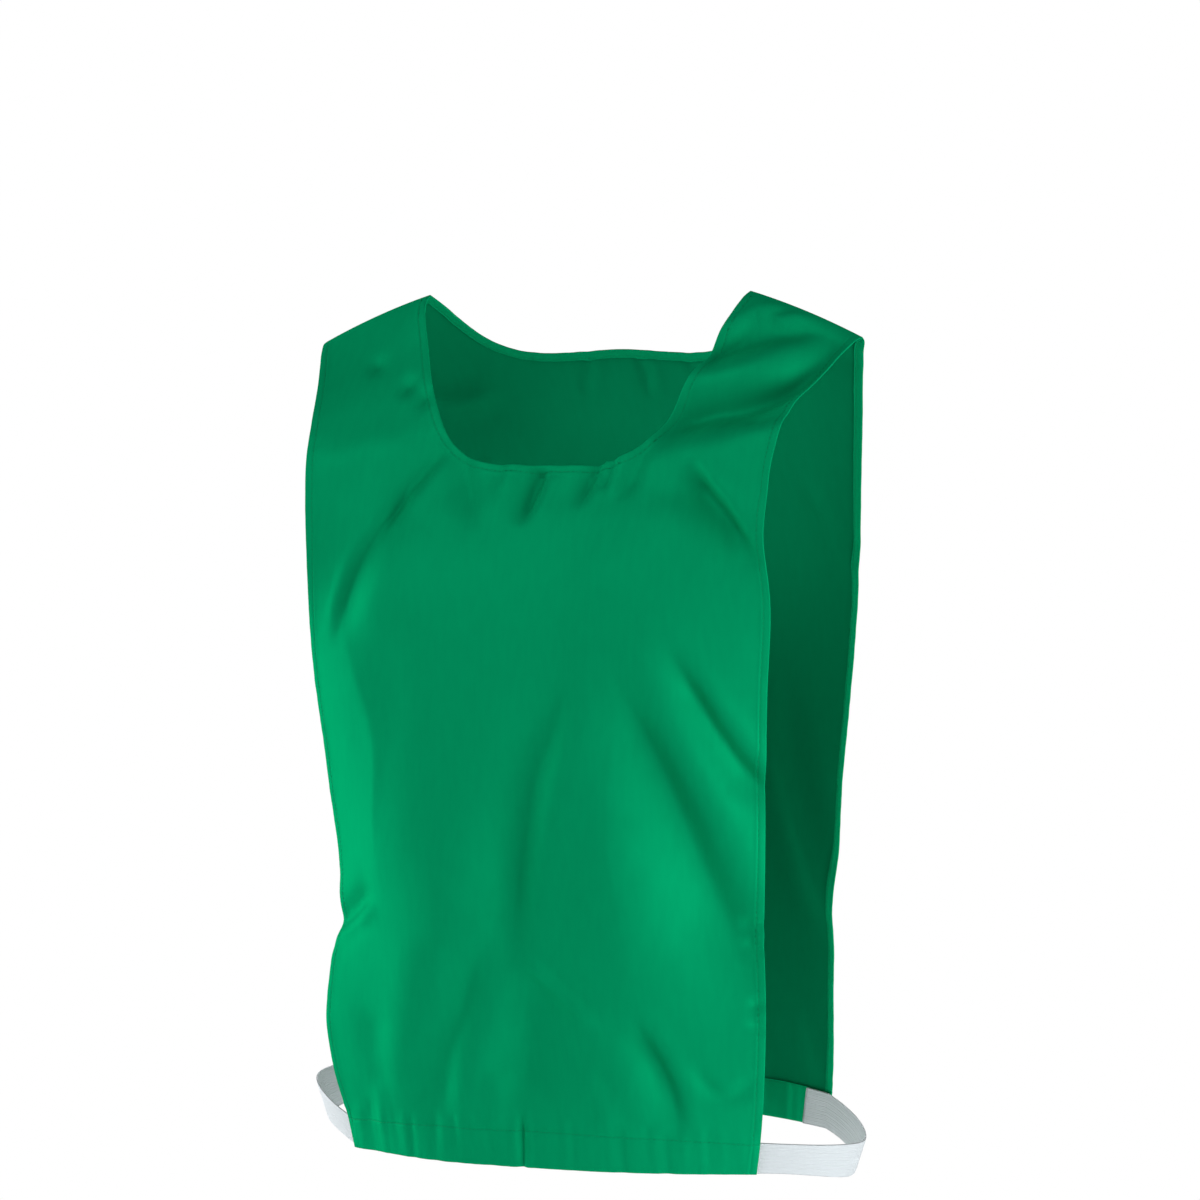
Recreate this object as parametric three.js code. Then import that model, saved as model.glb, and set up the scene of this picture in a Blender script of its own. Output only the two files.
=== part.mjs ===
// Training bib: a slip-over sports bib of two cloth panels, sewn together along the shoulders and open down
// both sides, with an elastic strap at each side of the hem. It is built in the form that it takes when worn.
// Millimetres. +X is the wearer's left, -Y the front and +Z up. The origin lies midway between the two
// shoulder seams, at the height of their middles, where the wearer's shoulders carry the bib.
import * as THREE from "three";

// Driving dimensions.
const CLOTH = 1.2; // wall of a panel
const TURN_UP = 1.0; // wall of the cloth turned up inside a hem
const ELASTIC = 1.6; // wall of a side strap
const SEAM_GAP = 0.3; // between pieces that are sewn together
const SHOULDER = { neckHalf: 110, outerHalf: 184, fall: 29 }; // the seam's two ends, and how far it falls
const HEM_DEPTH = 25; // height of the turned-up hem
const STRAP_WIDTH = 24;

// Where each side strap passes the hip, at its upper and its lower edge: how far across, how far before the
// seams, and how far below the neck points. climb: how much it rises there for each millimetre backwards.
// The lifts say how far it is drawn up soon after it leaves the front hem and the back hem.
const STRAPS = [
  { name: "left_strap", upper: [183, -6, 516], lower: [175.5, -6, 537], climb: 0.1, frontLift: 0, backLift: -7 },
  { name: "right_strap", upper: [-188, 6, 493], lower: [-179, 6, 517], climb: 0.3, frontLift: 10, backLift: 0 },
];
const STRAP_CURVE = { hem: 32, hip: 0.25 }; // how far it runs straight on, in mm, and as a share of its way

const ORIGIN_DOWN = SHOULDER.fall / 2; // the origin's depth below the neck points
const NECK_SHARE = SHOULDER.neckHalf / SHOULDER.outerHalf; // the neck point's place across the half panel

// How finely a panel is divided.
const COLUMNS = { neck: 14, shoulder: 7 }; // in each half: along the neckline, and along the shoulder seam
const ROWS = { body: 36, hem: 2, crowding: 1.25 }; // crowding: above 1 they lie closer towards the shoulders
const STRAP_LAP = 3; // columns of a panel that a strap's end is sewn beneath
const STRAP_STEPS = 11; // along its free part, from each hem to the hip

// The front, as sections across it from the shoulder seam to the hem. along: distance down the cloth from
// the seam. Out: how far the cloth stands before the seams; down: how far below the neck points, each at
// the panel's middle and at its edges. half: half the width. bow: 1 is straight across, more is rounder.
// Above the neckline the middle is only the point that the two shoulder strips aim at.
const FRONT_SECTIONS = [
  { along: 0, midDown: -16, midOut: 0, edgeDown: 29, edgeOut: 0, half: 184, bow: 2 },
  { along: 8, midDown: -15.5, midOut: 6.5, edgeDown: 31.5, edgeOut: 8, half: 182, bow: 1.7 },
  { along: 20, midDown: -10.5, midOut: 12, edgeDown: 37.5, edgeOut: 18, half: 178, bow: 1.4 },
  { along: 52, midDown: 14, midOut: 15, edgeDown: 58, edgeOut: 42, half: 167.5, bow: 1.05 },
  { along: 82, midDown: 50, midOut: 32, edgeDown: 81, edgeOut: 62, half: 161, bow: 1.2 },
  { along: 108, midDown: 87, midOut: 51, edgeDown: 103, edgeOut: 74, half: 158, bow: 1.6 },
  { along: 132, midDown: 113, midOut: 62, edgeDown: 126, edgeOut: 78, half: 156.5, bow: 2 },
  { along: 160, midDown: 139, midOut: 75, edgeDown: 153, edgeOut: 77.5, half: 156, bow: 2.4 },
  { along: 200, midDown: 177, midOut: 88, edgeDown: 192, edgeOut: 72.5, half: 156.5, bow: 3 },
  { along: 250, midDown: 226, midOut: 95, edgeDown: 241, edgeOut: 69.5, half: 153, bow: 3 },
  { along: 320, midDown: 296, midOut: 97, edgeDown: 310, edgeOut: 63, half: 149, bow: 2.8 },
  { along: 390, midDown: 366, midOut: 96, edgeDown: 378, edgeOut: 58, half: 146, bow: 2.6 },
  { along: 440, midDown: 416, midOut: 94, edgeDown: 427, edgeOut: 62, half: 149, bow: 2.8 },
  { along: 490, midDown: 466, midOut: 91, edgeDown: 476, edgeOut: 60, half: 147, bow: 2.8 },
  { along: 530, midDown: 506, midOut: 87, edgeDown: 511, edgeOut: 52, half: 141, bow: 2.6 },
  { along: 557, midDown: 532, midOut: 84, edgeDown: 532, edgeOut: 49, half: 137, bow: 2.5 },
];

const BACK_SECTIONS = [
  { along: 0, midDown: -16, midOut: 0, edgeDown: 29, edgeOut: 0, half: 184, bow: 2 },
  { along: 8, midDown: -15.5, midOut: 6.5, edgeDown: 31.5, edgeOut: 8, half: 182, bow: 1.7 },
  { along: 20, midDown: -11, midOut: 14, edgeDown: 37, edgeOut: 18.5, half: 177, bow: 1.4 },
  { along: 47, midDown: 18, midOut: 36, edgeDown: 55, edgeOut: 38, half: 168, bow: 1.4 },
  { along: 77, midDown: 49, midOut: 56, edgeDown: 80, edgeOut: 54, half: 161, bow: 1.9 },
  { along: 111, midDown: 80, midOut: 74, edgeDown: 109, edgeOut: 64, half: 156, bow: 2.2 },
  { along: 154, midDown: 121, midOut: 90, edgeDown: 150, edgeOut: 69, half: 153, bow: 2.5 },
  { along: 200, midDown: 166, midOut: 99, edgeDown: 194, edgeOut: 67, half: 152, bow: 2.6 },
  { along: 260, midDown: 225, midOut: 102, edgeDown: 250, edgeOut: 63, half: 149, bow: 2.6 },
  { along: 335, midDown: 300, midOut: 99, edgeDown: 320, edgeOut: 57, half: 144, bow: 2.5 },
  { along: 435, midDown: 400, midOut: 93, edgeDown: 410, edgeOut: 54, half: 142, bow: 2.5 },
  { along: 510, midDown: 473, midOut: 91, edgeDown: 477, edgeOut: 58, half: 140, bow: 2.5 },
  { along: 549, midDown: 511, midOut: 88, edgeDown: 511, edgeOut: 58, half: 137, bow: 2.4 },
];

// Broad swellings of the cloth: where the middle of each lies, how far it spreads, and how high it stands.
const FRONT_SWELLS = [
  { across: -82, down: 178, wide: 44, tall: 48, rise: 6 },
  { across: 82, down: 178, wide: 44, tall: 48, rise: 6 },
  { across: -150, down: 355, wide: 30, tall: 64, rise: -3.5 },
  { across: -142, down: 450, wide: 26, tall: 22, rise: 2.5 },
  { across: 5, down: 452, wide: 22, tall: 30, rise: -8.5 },
];
const BACK_SWELLS = [
  { across: -74, down: 165, wide: 44, tall: 60, rise: 5 },
  { across: 74, down: 165, wide: 44, tall: 60, rise: 5 },
];

// The largest folds. Each runs from one point through a second to a third, given as distances across from
// the middle and down from the neck points; depth is that of its trough, or below 0 the height of a ridge;
// width is that of one flank.
const FRONT_FOLDS = [
  { from: [-66, 97], by: [-103, 138], to: [-137, 204], depth: 4.5, width: 8 }, // across the right breast
  { from: [94, 46], by: [136, 28], to: [184, 30], depth: 5, width: 7 }, // left shoulder, upper
  { from: [70, 97], by: [126, 73], to: [184, 30], depth: 8, width: 9 }, // left shoulder, lower
  { from: [104, 104], by: [132, 134], to: [168, 178], depth: 5, width: 8 }, // left armhole
  { from: [-58, 196], by: [-66, 290], to: [-94, 384], depth: -6.5, width: 17 }, // hanging, right
  { from: [30, 205], by: [10, 300], to: [-7, 400], depth: 4, width: 14 }, // hanging, middle
  { from: [64, 220], by: [105, 306], to: [156, 408], depth: 9, width: 15 }, // hanging, left
  { from: [98, 212], by: [125, 262], to: [158, 310], depth: 6, width: 10 }, // towards the left edge
  { from: [-106, 366], by: [-130, 382], to: [-168, 398], depth: 5, width: 9.5 }, // nick in the right edge
  { from: [-26, 400], by: [-49, 462], to: [-57, 524], depth: 4, width: 11 }, // to the right of the hem
  { from: [76, 442], by: [93, 470], to: [98, 512], depth: 4.5, width: 9 }, // to the left of the hem
];
const BACK_FOLDS = [
  { from: [92, 42], by: [128, 34], to: [188, 34], depth: 3, width: 8 },
  { from: [-88, 60], by: [-126, 66], to: [-170, 46], depth: 4, width: 9 },
  { from: [-64, 205], by: [-82, 310], to: [-70, 430], depth: 5, width: 13 },
  { from: [14, 190], by: [2, 300], to: [20, 420], depth: 4.5, width: 14 },
  { from: [80, 205], by: [104, 310], to: [150, 410], depth: 6, width: 14 },
  { from: [-108, 230], by: [-128, 290], to: [-160, 330], depth: 4, width: 11 },
  { from: [-30, 415], by: [-44, 465], to: [-46, 525], depth: 4, width: 11 },
  { from: [52, 420], by: [74, 470], to: [92, 525], depth: 4, width: 11 },
];

const CREST = 0.2; // height of a fold's flanking ridges as a share of its depth
const NECK_SQUARENESS = 3.8; // of the neckline's curve: 2 is an ellipse

const FRONT = {
  facing: -1,
  sections: FRONT_SECTIONS,
  swells: FRONT_SWELLS,
  folds: FRONT_FOLDS,
  neckDepth: 125,
  askew: 0,
};
const BACK = {
  facing: 1,
  sections: BACK_SECTIONS,
  swells: BACK_SWELLS,
  folds: BACK_FOLDS,
  neckDepth: 62,
  askew: 6, // how much lower the hem's left end hangs than its middle, and its right end higher
};

const hemAlong = (panel) => panel.sections.at(-1).along;

// The row of a table at a distance along the cloth, on smooth curves through the table's own rows.
function sectionAt(sections, along) {
  let i = 0;
  while (i < sections.length - 2 && along > sections[i + 1].along) i++;
  const [a, b] = [sections[i], sections[i + 1]];
  const before = sections[Math.max(i - 1, 0)];
  const after = sections[Math.min(i + 2, sections.length - 1)];
  const span = b.along - a.along;
  const t = (along - a.along) / span;
  const row = {};
  for (const column of Object.keys(a)) {
    const slopeA = (b[column] - before[column]) / (b.along - before.along);
    const slopeB = (after[column] - a[column]) / (after.along - a.along);
    row[column] =
      a[column] * (1 + 2 * t) * (1 - t) ** 2 +
      b[column] * (3 - 2 * t) * t ** 2 +
      span * (slopeA * t * (1 - t) ** 2 - slopeB * t ** 2 * (1 - t));
  }
  return row;
}

// A point of a panel without its folds: across runs from -1 at the right edge to 1 at the left.
function smoothPoint(panel, across, along) {
  const row = sectionAt(panel.sections, along);
  const share = Math.abs(across) ** row.bow;
  const out = THREE.MathUtils.lerp(row.midOut, row.edgeOut, share) + SEAM_GAP / 2;
  const slant = (panel.askew * across * along) / hemAlong(panel);
  const down = THREE.MathUtils.lerp(row.midDown, row.edgeDown, share) + slant;
  return new THREE.Vector3(across * row.half, panel.facing * out, ORIGIN_DOWN - down);
}

// The direction that points out of a panel at one of its points.
function outwardAt(pointAt, facing, across, along) {
  const step = { across: 0.004, along: 1 };
  const sideways = pointAt(across + step.across, along).sub(pointAt(across - step.across, along));
  const downwards = pointAt(across, along + step.along).sub(pointAt(across, along - step.along));
  return sideways.cross(downwards).multiplyScalar(facing).normalize();
}

// How high the swellings and folds raise the cloth at a place.
function relief(panel, x, down) {
  let rise = 0;
  for (const swell of panel.swells) {
    const far = ((x - swell.across) / swell.wide) ** 2 + ((down - swell.down) / swell.tall) ** 2;
    rise += swell.rise * Math.exp(-far);
  }
  for (const fold of panel.foldLines) {
    const { distance, share } = nearestOn(fold.line, x, down);
    const reach = distance / fold.width;
    const trough = Math.exp(-(reach ** 2));
    const crests = Math.exp(-((Math.abs(reach) - 2) ** 2));
    rise += fold.depth * Math.sin(Math.PI * share) ** 0.7 * (CREST * crests - trough);
  }
  return rise;
}

// The distance from a place to a line of points, and how far along the line its nearest point is.
function nearestOn(line, x, down) {
  const place = new THREE.Vector2(x, down);
  let best = { distance: Infinity, share: 0 };
  for (let i = 1; i < line.length; i++) {
    const start = line[i - 1];
    const step = line[i].clone().sub(start);
    const t = THREE.MathUtils.clamp(place.clone().sub(start).dot(step) / step.lengthSq(), 0, 1);
    const distance = place.distanceTo(start.clone().addScaledVector(step, t));
    if (distance < best.distance) best = { distance, share: (i - 1 + t) / (line.length - 1) };
  }
  return best;
}

for (const panel of [FRONT, BACK]) {
  panel.foldLines = panel.folds.map(({ from, by, to, depth, width }) => {
    const line = new THREE.SplineCurve([from, by, to].map(([x, down]) => new THREE.Vector2(x, down)));
    return { line: line.getPoints(14), depth, width };
  });
}

// A direction out of a panel; on the shoulder seam it is turned into the seam's own plane, so that the two
// panels keep their distance there.
function keptInSeam(direction, along) {
  return along === 0 ? direction.setY(0).normalize() : direction;
}

// A point of a panel with its folds.
function foldedPoint(panel, across, along) {
  const point = smoothPoint(panel, across, along);
  const outward = outwardAt((a, b) => smoothPoint(panel, a, b), panel.facing, across, along);
  return point.addScaledVector(keptInSeam(outward, along), relief(panel, point.x, ORIGIN_DOWN - point.z));
}

// The neckline and shoulder seam from the middle to the shoulder's outer end, evenly divided.
function topEdge(panel) {
  const neckline = [];
  const fine = 400;
  for (let i = 0; i <= fine; i++) {
    const angle = ((Math.PI / 2) * i) / fine;
    const across = NECK_SHARE * Math.sin(angle) ** (2 / NECK_SQUARENESS);
    neckline.push({ across, along: panel.neckDepth * Math.cos(angle) });
  }
  const width = (place) => place.across * SHOULDER.outerHalf;
  const lengths = [0];
  for (let i = 1; i <= fine; i++) {
    const [a, b] = [neckline[i - 1], neckline[i]];
    lengths.push(lengths[i - 1] + Math.hypot(width(b) - width(a), b.along - a.along));
  }
  const edge = [];
  for (let i = 0; i <= COLUMNS.neck; i++) {
    const target = (lengths[fine] * i) / COLUMNS.neck;
    edge.push(neckline[Math.max(0, lengths.findIndex((length) => length >= target - 1e-9))]);
  }
  for (let i = 1; i <= COLUMNS.shoulder; i++) {
    const across = THREE.MathUtils.lerp(NECK_SHARE, 1, i / COLUMNS.shoulder);
    edge.push({ across, along: 0 });
  }
  return edge;
}

// The places of a panel's grid: one column for each place of its top edge, which run down to the hem.
function panelPlaces(panel) {
  const half = topEdge(panel);
  const last = half.length - 1;
  const top = [];
  for (let i = -last; i <= last; i++) {
    const { across, along } = half[Math.abs(i)];
    top.push({ across: Math.sign(i) * across, along, hemAcross: i / last });
  }
  const hem = hemAlong(panel);
  const stitching = hem - HEM_DEPTH;
  const row = (toStitching, toHem) =>
    top.map((place) => {
      const along = THREE.MathUtils.lerp(place.along, stitching, toStitching) + HEM_DEPTH * toHem;
      const evenness = THREE.MathUtils.smoothstep(along, place.along, hem);
      return { across: THREE.MathUtils.lerp(place.across, place.hemAcross, evenness), along };
    });
  const rows = [];
  for (let j = 0; j <= ROWS.body; j++) rows.push(row((j / ROWS.body) ** ROWS.crowding, 0));
  for (let j = 1; j <= ROWS.hem; j++) rows.push(row(1, j / ROWS.hem));
  return rows;
}

// The outward directions at a grid's points, from the grid itself.
function gridOutward(grid, facing) {
  const lastRow = grid.length - 1;
  const lastColumn = grid[0].length - 1;
  return grid.map((row, j) =>
    row.map((_, i) => {
      const sideways = row[Math.min(i + 1, lastColumn)].clone().sub(row[Math.max(i - 1, 0)]);
      const downwards = grid[Math.min(j + 1, lastRow)][i].clone().sub(grid[Math.max(j - 1, 0)][i]);
      return sideways.cross(downwards).multiplyScalar(facing).normalize();
    }),
  );
}

// A closed wall over a grid of points: from `from` to `to` along the outward directions.
function wallGeometry(grid, outward, from, to, facing) {
  const rows = grid.length;
  const columns = grid[0].length;
  const positions = [];
  for (const offset of [to, from]) {
    grid.forEach((row, j) =>
      row.forEach((point, i) => positions.push(...point.clone().addScaledVector(outward[j][i], offset).toArray())),
    );
  }
  const outer = (j, i) => j * columns + i;
  const inner = (j, i) => rows * columns + j * columns + i;
  const index = [];
  const face = (a, b, c, d, acrossAC = true) => {
    const corners = facing < 0 ? [a, b, c, d] : [a, d, c, b];
    const [p, q, r, s] = corners;
    index.push(...(acrossAC ? [p, q, r, p, r, s] : [p, q, s, q, r, s]));
  };
  for (let j = 0; j < rows - 1; j++) {
    for (let i = 0; i < columns - 1; i++) {
      const direct = grid[j][i].distanceTo(grid[j + 1][i + 1]) < grid[j + 1][i].distanceTo(grid[j][i + 1]);
      face(outer(j, i), outer(j + 1, i), outer(j + 1, i + 1), outer(j, i + 1), direct);
      face(inner(j, i), inner(j, i + 1), inner(j + 1, i + 1), inner(j + 1, i), direct);
    }
  }
  for (let i = 0; i < columns - 1; i++) {
    face(outer(0, i), outer(0, i + 1), inner(0, i + 1), inner(0, i));
    face(outer(rows - 1, i + 1), outer(rows - 1, i), inner(rows - 1, i), inner(rows - 1, i + 1));
  }
  for (let j = 0; j < rows - 1; j++) {
    face(outer(j + 1, 0), outer(j, 0), inner(j, 0), inner(j + 1, 0));
    face(outer(j, columns - 1), outer(j + 1, columns - 1), inner(j + 1, columns - 1), inner(j, columns - 1));
  }
  const geometry = new THREE.BufferGeometry();
  geometry.setAttribute("position", new THREE.Float32BufferAttribute(positions, 3));
  geometry.setIndex(index);
  geometry.computeVertexNormals();
  return geometry;
}

for (const panel of [FRONT, BACK]) {
  const places = panelPlaces(panel);
  panel.grid = places.map((row) => row.map(({ across, along }) => foldedPoint(panel, across, along)));
  panel.outward = gridOutward(panel.grid, panel.facing);
  places[0].forEach(({ along }, i) => keptInSeam(panel.outward[0][i], along));
}

function panelGeometry({ grid, outward, facing }) {
  return wallGeometry(grid, outward, 0, CLOTH, facing);
}

// The cloth turned up inside a hem lies on the panel's inner face.
function turnUpGeometry({ grid, outward, facing }) {
  const hemRows = -(ROWS.hem + 1);
  return wallGeometry(grid.slice(hemRows), outward.slice(hemRows), -SEAM_GAP - TURN_UP, -SEAM_GAP, facing);
}

// The end of a strap beneath a panel's hem, row by row from its upper edge; the last point is at the
// panel's side.
function strapEnd({ grid, outward }, side) {
  const inset = 2 * SEAM_GAP + TURN_UP;
  const lastColumn = grid[0].length - 1;
  const beneath = grid.slice(-(ROWS.hem + 1)).map((row, j) => {
    const directions = outward.at(j - ROWS.hem - 1);
    const points = row.map((point, i) => point.clone().addScaledVector(directions[i], -inset));
    return side > 0 ? points.slice(lastColumn - STRAP_LAP) : points.slice(0, STRAP_LAP + 1).reverse();
  });
  const lowered = (HEM_DEPTH - STRAP_WIDTH) / (HEM_DEPTH / ROWS.hem);
  beneath[0] = beneath[0].map((point, i) => point.clone().lerp(beneath[1][i], lowered));
  return beneath;
}

// A side strap: sewn inside both hems, and free between them round the wearer's hip.
function strapGeometry({ upper, lower, climb, frontLift, backLift }) {
  const side = Math.sign(upper[0]);
  const placeAt = ([across, out, down]) => new THREE.Vector3(across, -out, ORIGIN_DOWN - down);
  const front = strapEnd(FRONT, side);
  const back = strapEnd(BACK, side);
  const grid = front.map((frontRow, j) => {
    const hip = placeAt(upper).lerp(placeAt(lower), j / ROWS.hem);
    const fromHem = (end, lift) => {
      const [inner, edge] = end.slice(-2);
      const onward = edge.clone().sub(inner).setLength(STRAP_CURVE.hem).add(edge);
      onward.z += lift;
      const level = new THREE.Vector3(0, 1, climb);
      const intoHip = level.multiplyScalar((edge.y - hip.y) * STRAP_CURVE.hip).add(hip);
      const free = new THREE.CubicBezierCurve3(edge, onward, intoHip, hip);
      return [...end.slice(0, -1), ...free.getPoints(STRAP_STEPS)];
    };
    return [...fromHem(frontRow, frontLift), ...fromHem(back[j], backLift).slice(0, -1).reverse()];
  });
  const facing = -side;
  return wallGeometry(grid, gridOutward(grid, facing), -ELASTIC, 0, facing);
}

const bibCloth = new THREE.MeshStandardMaterial({
  color: 0x00935c,
  roughness: 0.42,
  metalness: 0,
  side: THREE.DoubleSide,
});
const elasticWeave = new THREE.MeshStandardMaterial({
  color: 0xe4e8ea,
  roughness: 0.8,
  metalness: 0,
  side: THREE.DoubleSide,
});

function piece(name, geometry, material) {
  const mesh = new THREE.Mesh(geometry, material);
  mesh.name = name;
  return mesh;
}

const bib = new THREE.Group();
bib.name = "training_bib";
bib.add(
  piece("front_panel", panelGeometry(FRONT), bibCloth),
  piece("back_panel", panelGeometry(BACK), bibCloth),
  piece("front_hem_turn_up", turnUpGeometry(FRONT), bibCloth),
  piece("back_hem_turn_up", turnUpGeometry(BACK), bibCloth),
  ...STRAPS.map((strap) => piece(strap.name, strapGeometry(strap), elasticWeave)),
);

export default bib;
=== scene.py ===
"""A training bib in its worn form: two satin cloth panels with turned hems, joined at the shoulders, and an
elastic strap at each side of the hem. Sizes in the tables are in millimetres, and the meshes in metres."""

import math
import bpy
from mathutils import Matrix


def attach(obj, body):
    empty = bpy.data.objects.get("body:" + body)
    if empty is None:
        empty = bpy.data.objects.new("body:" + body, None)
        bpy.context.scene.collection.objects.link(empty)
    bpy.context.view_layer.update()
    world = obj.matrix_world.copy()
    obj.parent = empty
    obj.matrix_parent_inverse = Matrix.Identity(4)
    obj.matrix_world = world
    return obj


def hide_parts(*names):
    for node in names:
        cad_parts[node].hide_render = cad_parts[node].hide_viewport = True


bl_info = {
    "name": "Training Bib",
    "version": (1, 0, 0),
    "blender": (4, 5, 0),
    "location": "3D View > Sidebar > Training Bib",
    "description": "Builds a worn training bib with turned hems, stitching and elastic side straps",
    "category": "Add Mesh",
}

from dataclasses import dataclass

import bpy
import numpy as np
from mathutils import Vector, noise

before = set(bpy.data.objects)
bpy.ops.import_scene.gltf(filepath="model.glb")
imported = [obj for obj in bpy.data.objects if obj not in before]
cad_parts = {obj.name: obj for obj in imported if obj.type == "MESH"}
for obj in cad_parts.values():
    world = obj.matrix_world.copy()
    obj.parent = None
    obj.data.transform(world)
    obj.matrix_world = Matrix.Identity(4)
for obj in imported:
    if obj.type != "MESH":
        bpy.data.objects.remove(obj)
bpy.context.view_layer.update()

MM = 0.001
SHOULDER = {"neck_half": 110, "outer_half": 184, "fall": 29}
ORIGIN_DOWN = SHOULDER["fall"] / 2
NECK_SHARE = SHOULDER["neck_half"] / SHOULDER["outer_half"]
NECK_SQUARENESS = 3.8
NECKLINE_STEPS = 1500
SEAM_GAP = 0.2  # between the panels' own surfaces at the shoulders, where their folded edges just meet
UPRIGHT_REACH = 2  # the reach below the shoulder seam over which the cloth's normal turns upright
HEM_DEPTH = 25
CLOTH_MIDDLE = 1.05  # how far the middle of the cloth stands out from the panel's own surface
STEP_ACROSS, STEP_ALONG = 0.004, 1.0  # small steps over a panel, to find its slopes
FAR = 1e3  # a distance from an edge that no hem reaches


@dataclass(frozen=True)
class Fold:
    """A row of a panel's folds: a path of places across and down, the depth of the trough (a ridge is
    negative), the width of a flank, how much wider the flank on one side is than the other, and how sharp
    the fold's own line is."""

    path: tuple
    depth: float
    width: float
    lean: float = 0
    sharp: float = 0


# The panels, as sections across them from the shoulder seam to the hem. Each row gives the distance along
# the cloth; how far down and out the panel's middle is; how far down and out its edges are; half its width;
# and how roundly it goes from middle to edge.
SECTION_COLUMNS = ("along", "mid_down", "mid_out", "edge_down", "edge_out", "half", "bow")
FRONT_SECTIONS = (
    (0, -16, 0, 29, 0, 184, 2),
    (8, -15.5, 6.5, 31.5, 8, 182, 1.7),
    (20, -10.5, 12, 37.5, 18, 178, 1.4),
    (52, 14, 15, 58, 42, 167.5, 1.05),
    (82, 50, 32, 81, 62, 161, 1.2),
    (108, 87, 51, 103, 74, 158, 1.6),
    (132, 113, 62, 126, 78, 156.5, 2),
    (160, 139, 75, 153, 77.5, 156, 2.4),
    (200, 177, 88, 192, 72.5, 156.5, 3),
    (250, 226, 95, 241, 69.5, 153, 3),
    (320, 296, 97, 310, 63, 149, 2.6),
    (390, 366, 96, 378, 58, 146, 2.3),
    (440, 416, 94, 427, 62, 149, 2.2),
    (490, 466, 91, 476, 60, 147, 2.2),
    (530, 506, 87, 511, 52, 141, 2.2),
    (557, 532, 84, 532, 49, 137, 2.2),
)
BACK_SECTIONS = (
    (0, -16, 0, 29, 0, 184, 2),
    (8, -15.5, 6.5, 31.5, 8, 182, 1.7),
    (20, -11, 14, 37, 18.5, 177, 1.4),
    (47, 18, 36, 55, 38, 168, 1.4),
    (77, 49, 56, 80, 54, 161, 1.9),
    (111, 80, 74, 109, 64, 156, 2.2),
    (154, 121, 90, 150, 69, 153, 2.5),
    (200, 166, 99, 194, 67, 152, 2.6),
    (260, 225, 102, 250, 63, 149, 2.6),
    (335, 300, 99, 320, 57, 144, 2.5),
    (435, 400, 93, 410, 54, 142, 2.5),
    (510, 473, 91, 477, 58, 140, 2.5),
    (549, 511, 88, 511, 58, 137, 2.4),
)

# Swellings and dents: where the middle lies across and down, how wide and tall it is, and how far it stands.
FRONT_SWELLS = (
    (-82, 178, 44, 48, 6),
    (82, 178, 44, 48, 6),
    (-150, 355, 30, 64, -3.5),
    (-142, 450, 26, 22, 2.5),
    (-129, 45, 7, 5, -2.8),
    (-103, 58, 6, 5, -3.0),
    (-90, 65, 5, 6, -2.6),
)
BACK_SWELLS = (
    (-74, 165, 44, 60, 5),
    (74, 165, 44, 60, 5),
)

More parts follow.
